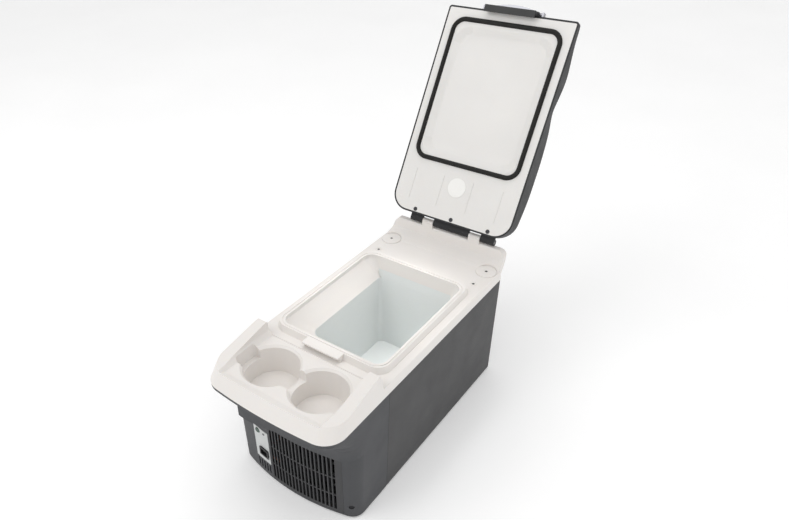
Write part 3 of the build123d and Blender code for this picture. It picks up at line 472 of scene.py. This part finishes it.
def rounded_loop(half_width, front, rear, radius, step):
    """Rounded rectangle as (x, y, outward x, outward y), straights cut near step, mm."""
    corner_segments = 12
    right, left = half_width - radius, -half_width + radius
    corners = [(right, rear - radius, 0), (left, rear - radius, 90),
               (left, front + radius, 180), (right, front + radius, 270)]
    points = []
    for i, (x, y, start) in enumerate(corners):
        for k in range(corner_segments + 1):
            angle = math.radians(start + 90 * k / corner_segments)
            out_x, out_y = math.cos(angle), math.sin(angle)
            points.append((x + radius * out_x, y + radius * out_y, out_x, out_y))
        next_x, next_y, next_start = corners[(i + 1) % 4]
        angle = math.radians(next_start)
        end_x = next_x + radius * math.cos(angle)
        end_y = next_y + radius * math.sin(angle)
        from_x, from_y, out_x, out_y = points[-1]
        count = max(int(math.hypot(end_x - from_x, end_y - from_y) / step), 1)
        for k in range(1, count):
            points.append((from_x + (end_x - from_x) * k / count,
                           from_y + (end_y - from_y) * k / count, out_x, out_y))
    return points


def add_object(name, data):
    made = bpy.data.objects.new(name, data)
    bpy.context.collection.objects.link(made)
    return made


def mesh_object(name, verts, faces, material):
    mesh = bpy.data.meshes.new(name)
    mesh.from_pydata([tuple(vert) for vert in verts], [], faces)
    mesh.update()
    made = add_object(name, mesh)
    bm = bmesh.new()
    bm.from_mesh(mesh)
    bmesh.ops.recalc_face_normals(bm, faces=bm.faces)
    bm.to_mesh(mesh)
    bm.free()
    smooth(mesh)
    mesh.materials.append(material)
    return made


def sweep_ring(name, path, section, material):
    """Sweep a closed section [(outward, lid up)] round a closed path [(point, outward)]."""
    verts = [point + outward * u + LID_UP * v for point, outward in path for u, v in section]
    faces, size = [], len(section)
    for i in range(len(path)):
        j = (i + 1) % len(path)
        for k in range(size):
            m = (k + 1) % size
            faces.append((i * size + k, i * size + m, j * size + m, j * size + k))
    return mesh_object(name, verts, faces, material)


def surface_tree(node):
    mesh = node.data
    return BVHTree.FromPolygons([node.matrix_world @ v.co for v in mesh.vertices],
                                [tuple(p.vertices) for p in mesh.polygons])


def drop(tree, x, y):
    """Point and normal where a ray down onto the lid meets a surface, or Nones."""
    above = 260                          # start height, mm
    return tree.ray_cast(lid_point(x, y, above), -LID_UP, 0.08)[:2]


# ---------------------------------------------------------------- lid gasket
# (outward, up) from the seat, mm: a bulb on a flat foot with a thin lip each side
GASKET_SECTION = (
    (-3.4, 0.0), (-3.4, -0.9), (-2.9, -1.25), (-2.35, -1.4), (-2.3, -2.4),
    (-1.9, -3.4), (-1.1, -4.15), (0.0, -4.4), (1.1, -4.15), (1.9, -3.4),
    (2.3, -2.4), (2.35, -1.4), (2.9, -1.25), (3.4, -0.9), (3.4, 0.0),
)
GASKET_LOOP = dict(half_width=81.65, front=-282.3, rear=-77.5, radius=17.0, step=3.0)
GASKET_SEAT = 196.48                     # z on the closed lid, mm


def make_gasket():
    path = [(lid_point(x, y, GASKET_SEAT), lid_direction(out_x, out_y))
            for x, y, out_x, out_y in rounded_loop(**GASKET_LOOP)]
    section = [(u / MM_PER_M, v / MM_PER_M) for u, v in GASKET_SECTION]
    return sweep_ring("gasket_bulb", path, section, GASKET)


gasket = make_gasket()
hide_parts("lid_gasket")
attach(gasket, "lid")

# ---------------------------------------------------------------- armrest cushion
PAD_SCALE = 0.994                        # shrunk a little about its centre
VOXEL = 0.004
PIN_REACH = 0.0035                       # vertices this near the shell stay put
PUFF_FRAMES = 20
PUFF_LIMIT = 0.006                       # furthest a vertex may move
MIN_GAP, LIFT_GAP = 0.0002, 0.0003       # clearance below which a vertex is lifted, and to
LIFT_REACH = 0.02                        # only vertices this near the shell are lifted


def apply_modifier(modifier):
    bpy.ops.object.modifier_apply(modifier=modifier.name)


def puff(cushion):
    """Inflate the unpinned cushion as cloth, then bake the limited movement."""
    rest = [v.co.copy() for v in cushion.data.vertices]
    cloth = cushion.modifiers.new("cloth", "CLOTH")
    settings = cloth.settings
    settings.quality = 5
    settings.mass = 0.02
    settings.use_pressure = True
    settings.uniform_pressure_force = 4.0
    settings.vertex_group_mass = "pin"
    settings.effector_weights.gravity = 0.0
    settings.tension_stiffness = 5
    settings.compression_stiffness = 5
    settings.shear_stiffness = 2
    settings.bending_stiffness = 0.3
    cloth.collision_settings.use_collision = False
    cloth.collision_settings.use_self_collision = False
    cloth.point_cache.frame_start = 1
    cloth.point_cache.frame_end = PUFF_FRAMES
    scene = bpy.context.scene
    for frame in range(1, PUFF_FRAMES + 1):
        scene.frame_set(frame)
    evaluated = cushion.evaluated_get(bpy.context.evaluated_depsgraph_get())
    moved = [v.co.copy() for v in evaluated.data.vertices]
    cushion.modifiers.remove(cloth)
    scene.frame_set(1)
    for vert, start, end in zip(cushion.data.vertices, rest, moved):
        shift = end - start
        if shift.length > PUFF_LIMIT:
            shift = shift.normalized() * PUFF_LIMIT
        vert.co = start + shift


def make_cushion():
    """The CAD pad, remeshed and stuffed."""
    source = NODES["armrest_pad"]
    mesh = source.data.copy()
    mesh.transform(source.matrix_world)
    centre = sum((v.co for v in mesh.vertices), Vector()) / len(mesh.vertices)
    mesh.transform(Matrix.Translation(centre) @ Matrix.Scale(PAD_SCALE, 4)
                   @ Matrix.Translation(-centre))
    cushion = add_object("armrest_cushion", mesh)
    bpy.context.view_layer.objects.active = cushion
    for selected in bpy.context.selected_objects:
        selected.select_set(False)
    cushion.select_set(True)
    remesh = cushion.modifiers.new("remesh", "REMESH")
    remesh.mode = "VOXEL"
    remesh.voxel_size = VOXEL
    apply_modifier(remesh)

    shell = surface_tree(NODES["lid_shell"])
    pinned = [v.index for v in cushion.data.vertices
              if shell.find_nearest(v.co)[3] < PIN_REACH]
    cushion.vertex_groups.new(name="pin").add(pinned, 1.0, "REPLACE")
    puff(cushion)
    relax = cushion.modifiers.new("smooth", "CORRECTIVE_SMOOTH")
    relax.factor = 0.5
    relax.iterations = 3
    relax.use_only_smooth = True
    apply_modifier(relax)

    # lift whatever sinks into the upward faces of the shell
    for vert in cushion.data.vertices:
        point, normal, _, _ = shell.find_nearest(vert.co)
        offset = vert.co - point
        facing_up = normal.dot(LID_UP) > 0.2
        if offset.dot(normal) < MIN_GAP and offset.length < LIFT_REACH and facing_up:
            vert.co = point + normal * LIFT_GAP
    subdivide = cushion.modifiers.new("sub", "SUBSURF")
    subdivide.levels = subdivide.render_levels = 1
    apply_modifier(subdivide)
    smooth(cushion.data)
    cushion.data.materials.clear()
    cushion.data.materials.append(PAD)
    return cushion


cushion = make_cushion()
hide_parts("armrest_pad")
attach(cushion, "lid")

# ---------------------------------------------------------------- cushion piping
PIPING_LOOP = dict(half_width=96.6, front=-176.0, rear=2.6, radius=18.0, step=2.5)
PIPING_NARROWING = 0.985                 # scales x before the drop onto the shell
PIPING_RADIUS = 1.7                      # mm
PIPING_SIDES = 10
PIPING_LIFT = 0.0007


def make_piping():
    """A cord round the foot of the cushion, laid on the lid shell."""
    shell = surface_tree(NODES["lid_shell"])
    path = []
    for x, y, out_x, out_y in rounded_loop(**PIPING_LOOP):
        point, _ = drop(shell, x * PIPING_NARROWING, y)
        if point is not None:
            path.append((point + LID_UP * PIPING_LIFT, lid_direction(out_x, out_y)))
    # too few points on the shell would not make a ring
    if len(path) > 40:
        angles = [2 * math.pi * k / PIPING_SIDES for k in range(PIPING_SIDES)]
        circle = [(PIPING_RADIUS * math.cos(angle) / MM_PER_M,
                   PIPING_RADIUS * math.sin(angle) / MM_PER_M) for angle in angles]
        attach(sweep_ring("cushion_piping", path, circle, PAD), "lid")


make_piping()

# ---------------------------------------------------------------- cushion stitches
STITCH_LOOP = dict(half_width=88.0, front=-166.0, rear=-8.0, radius=16.0, step=2.0)
STITCH_MIN, STITCH_MAX = 0.0005, 0.008   # lengths outside these are skipped
THREAD_RADIUS = 0.00038
THREAD_SIDES = 6
# (fraction along the stitch, height above the pad): ends dip under the vinyl
STITCH_ARCH = ((0.0, -0.0002), (0.3, 0.00045), (0.7, 0.00045), (1.0, -0.0002))


def make_stitches():
    """A row of separate stitches laid on the top of the cushion."""
    pad = surface_tree(cushion)
    loop = rounded_loop(**STITCH_LOOP)
    verts, faces = [], []
    for i in range(0, len(loop) - 1, 2):
        start, _ = drop(pad, *loop[i][:2])
        end, normal = drop(pad, *loop[i + 1][:2])
        if start is None or end is None:
            continue
        if not STITCH_MIN <= (end - start).length <= STITCH_MAX:
            continue
        side = (end - start).normalized().cross(normal).normalized()
        base = len(verts)
        for fraction, height in STITCH_ARCH:
            middle = start + (end - start) * fraction + normal * height
            for k in range(THREAD_SIDES):
                angle = math.pi * 2 * k / THREAD_SIDES
                verts.append(middle + side * (THREAD_RADIUS * math.cos(angle))
                             + normal * (THREAD_RADIUS * math.sin(angle)))
        last = base + (len(STITCH_ARCH) - 1) * THREAD_SIDES
        for row in range(base, last, THREAD_SIDES):
            above = row + THREAD_SIDES
            for k in range(THREAD_SIDES):
                m = (k + 1) % THREAD_SIDES
                faces.append((row + k, row + m, above + m, above + k))
        for cap in (base, last):
            faces.append(tuple(cap + k for k in range(THREAD_SIDES)))
    if verts:
        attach(mesh_object("cushion_stitches", verts, faces, THREAD), "lid")


make_stitches()

# ---------------------------------------------------------------- stage
STAGE_HALF_WIDTH = 7.0
STAGE_HALF_DEPTH = 4.5
STAGE_HEIGHT = 4.0
COVE_RADIUS = 1.2
COVE_SEGMENTS = 16


def make_backdrop():
    """A floor that curves up into a wall at the rear."""
    floor = CAD_BOX[0][2]
    cove_start = STAGE_HALF_DEPTH - COVE_RADIUS
    profile = [(-STAGE_HALF_DEPTH, 0.0), (cove_start, 0.0)]
    for i in range(1, COVE_SEGMENTS + 1):
        angle = math.pi / 2 * i / COVE_SEGMENTS
        profile.append((cove_start + COVE_RADIUS * math.sin(angle),
                        COVE_RADIUS - COVE_RADIUS * math.cos(angle)))
    profile.append((STAGE_HALF_DEPTH, STAGE_HEIGHT))
    bm = bmesh.new()
    left, right = [[bm.verts.new((x, y, floor + z)) for y, z in profile]
                   for x in (-STAGE_HALF_WIDTH, STAGE_HALF_WIDTH)]
    for i in range(len(profile) - 1):
        bm.faces.new((left[i], right[i], right[i + 1], left[i + 1]))
    mesh = bpy.data.meshes.new("backdrop")
    bm.to_mesh(mesh)
    bm.free()
    smooth(mesh)
    backdrop = add_object("backdrop", mesh)
    s = Shader("backdrop_pale")
    mesh.materials.append(s.finish({
        "Base Color": s.mix(s.remap(s.noise(scale=3)),
                            (0.93, 0.93, 0.93, 1), (0.96, 0.96, 0.96, 1)),
        "Roughness": 0.9,
        "Specular IOR Level": 0.1,
        "Emission Color": (1, 1, 1, 1),
        "Emission Strength": 0.14}))
    return backdrop


make_backdrop()

# soft white surround
world = bpy.data.worlds.new("studio")
bpy.context.scene.world = world
world.use_nodes = True
background = world.node_tree.nodes["Background"]
background.inputs["Color"].default_value = (1.0, 1.0, 1.0, 1)
background.inputs["Strength"].default_value = 0.72


def area_light(name, location, target, size, power):
    light = bpy.data.lights.new(name, "AREA")
    light.shape = "RECTANGLE"
    light.size, light.size_y = size
    light.energy = power
    made = add_object(name, light)
    made.location = location
    aim = Vector(target) - Vector(location)
    made.rotation_euler = aim.to_track_quat("-Z", "Y").to_euler()
    return made


area_light("key", location=(-0.9, -1.3, 1.9), target=(0, 0, 0.15), size=(1.3, 1.3), power=10.5)
area_light("fill", location=(1.8, -1.0, 0.9), target=(0, 0, 0.15), size=(1.6, 1.2), power=3.0)
area_light("top", location=(0.1, 0.3, 2.1), target=(0, -0.05, 0.2), size=(1.8, 1.8), power=7)
# a weak narrow light pointing down into the box
bin_light = area_light("bin", location=(0.0, 0.02, 0.42), target=(0, 0.02, 0.0),
                       size=(0.10, 0.16), power=0.055)
bin_light.data.spread = math.radians(50)
bin_light.visible_camera = False
bin_light.visible_glossy = False

# ---------------------------------------------------------------- camera
VIEW_RIGHT = Vector((0.79581459, 0.60475640, -0.03080315))
VIEW_DOWN = Vector((0.32231971, -0.46611514, -0.82392153))
VIEW_FORWARD = Vector((-0.51262963, 0.64576031, -0.56586614))
VIEW_FROM = Vector((0.42708, -0.60281, 0.74388))

lens_data = bpy.data.cameras.new("camera")
lens_data.sensor_fit = "HORIZONTAL"
lens_data.sensor_width = 36.0
lens_data.lens = 31.553393
lens_data.shift_x = 0.06787199
lens_data.shift_y = 0.02263118
lens_data.clip_start = 0.02
camera = add_object("camera", lens_data)
turn = Matrix((VIEW_RIGHT, -VIEW_DOWN, -VIEW_FORWARD)).transposed().to_4x4()
camera.matrix_world = Matrix.Translation(VIEW_FROM) @ turn
bpy.context.scene.camera = camera
bpy.context.scene.view_settings.view_transform = "Standard"

bpy.context.view_layer.update()
